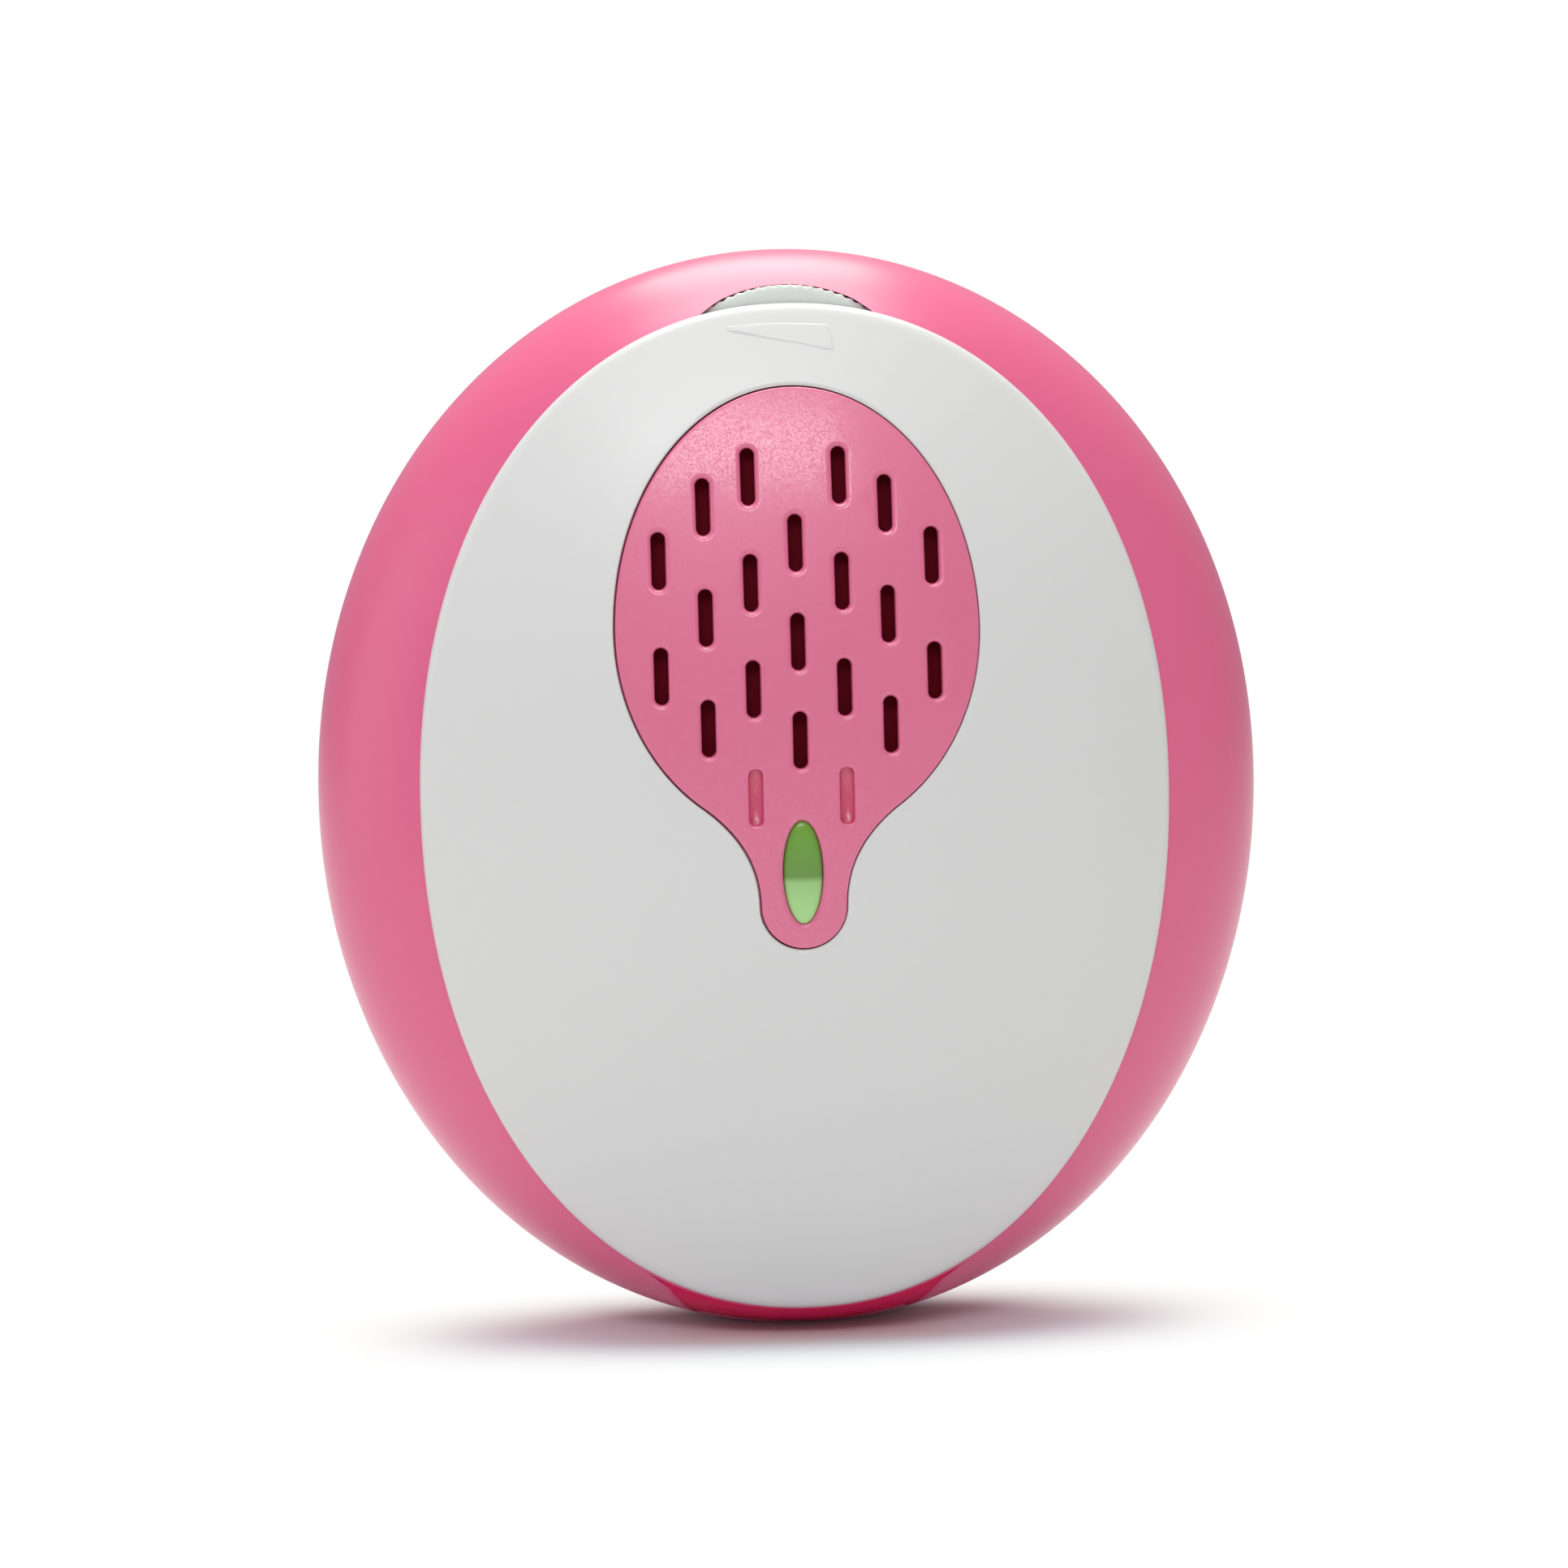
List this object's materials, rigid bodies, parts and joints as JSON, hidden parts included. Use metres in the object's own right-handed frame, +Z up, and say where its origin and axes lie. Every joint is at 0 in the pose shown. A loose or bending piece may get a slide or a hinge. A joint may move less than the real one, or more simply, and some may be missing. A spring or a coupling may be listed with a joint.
{
  "type": "pocket fetal doppler monitor",
  "caption": "Egg-shaped hand-held fetal doppler monitor with speaker grille, volume thumbwheel, rear probe face, battery door and audio jacks; stands on a small foot flat.",
  "frame": {"origin": "middle of the whole object's footprint, at the height of the small foot flat that it stands on", "axes": "+X to the right seen from the front, +Y from the front cover back to the probe face, +Z up"},
  "size_m": [0.083, 0.036, 0.0945],
  "materials": {
    "pink_shell": "satin pink ABS",
    "white_cover": "satin white ABS",
    "grille_pink": "fine grained pink ABS",
    "lens_green": "clear green acrylic",
    "crimson_panel": "glossy crimson ABS",
    "wheel_grey": "satin light grey acetal",
    "probe_white": "satin white acoustic plastic",
    "seal_rubber": "black silicone",
    "foam": "black foam",
    "screw_steel": "zinc plated",
    "contact_metal": "nickel plated",
    "black_plastic": "black moulded plastic",
    "crystal": "piezo ceramic with silvered faces",
    "absorber": "cork filled rubber",
    "cable_jacket": "PVC jacket",
    "lead_red": "PVC insulation",
    "speaker_film": "shiny film cone",
    "magnet": "dark ferrite and steel cup",
    "circuit_board": "green solder mask",
    "led_epoxy": "green tinted epoxy",
    "cell_sleeve": "bronze printed sleeve, plain"
  },
  "bodies": {
    "casing": {"front_bezel": "pink_shell", "front_cover": "white_cover", "grille_plate": "grille_pink", "indicator_lens": "lens_green", "rear_shell": "pink_shell", "jack_panel": "crimson_panel", "volume_pot": "black_plastic", "probe_cap": "probe_white", "probe_seal": "seal_rubber", "transmit_crystal": "crystal", "receive_crystal": "crystal", "crystal_backing": "absorber", "probe_shield": "contact_metal", "probe_lead": "cable_jacket", "speaker_frame": "screw_steel", "speaker_cone": "speaker_film", "speaker_magnet": "magnet", "speaker_gasket": "foam", "speaker_leads": "lead_red", "indicator_led": "led_epoxy", "main_board": "circuit_board", "board_components": "black_plastic", "board_screws": "screw_steel", "case_screws": "screw_steel", "earphone_jack": "black_plastic", "record_jack": "black_plastic", "upper_cell": "cell_sleeve", "lower_cell": "cell_sleeve", "cell_bridge": "contact_metal", "cell_terminals": "contact_metal"},
    "thumbwheel": {"volume_wheel": "wheel_grey", "wheel_screw": "screw_steel", "pot_shaft": "screw_steel"},
    "door": {"battery_door": "pink_shell", "door_pad": "foam"}
  },
  "joints": [
    {"name": "volume_turn", "type": "hinge", "parent": "casing", "child": "thumbwheel", "pos_m": [0, -0.0075, 0.0781], "axis": [0, 1, 0], "range_deg": [0, 290]},
    {"name": "door_swing", "type": "hinge", "parent": "casing", "child": "door", "pos_m": [0, 0.014, 0.04925], "axis": [-1, 0, 0], "range_deg": [0, 95]}
  ]
}
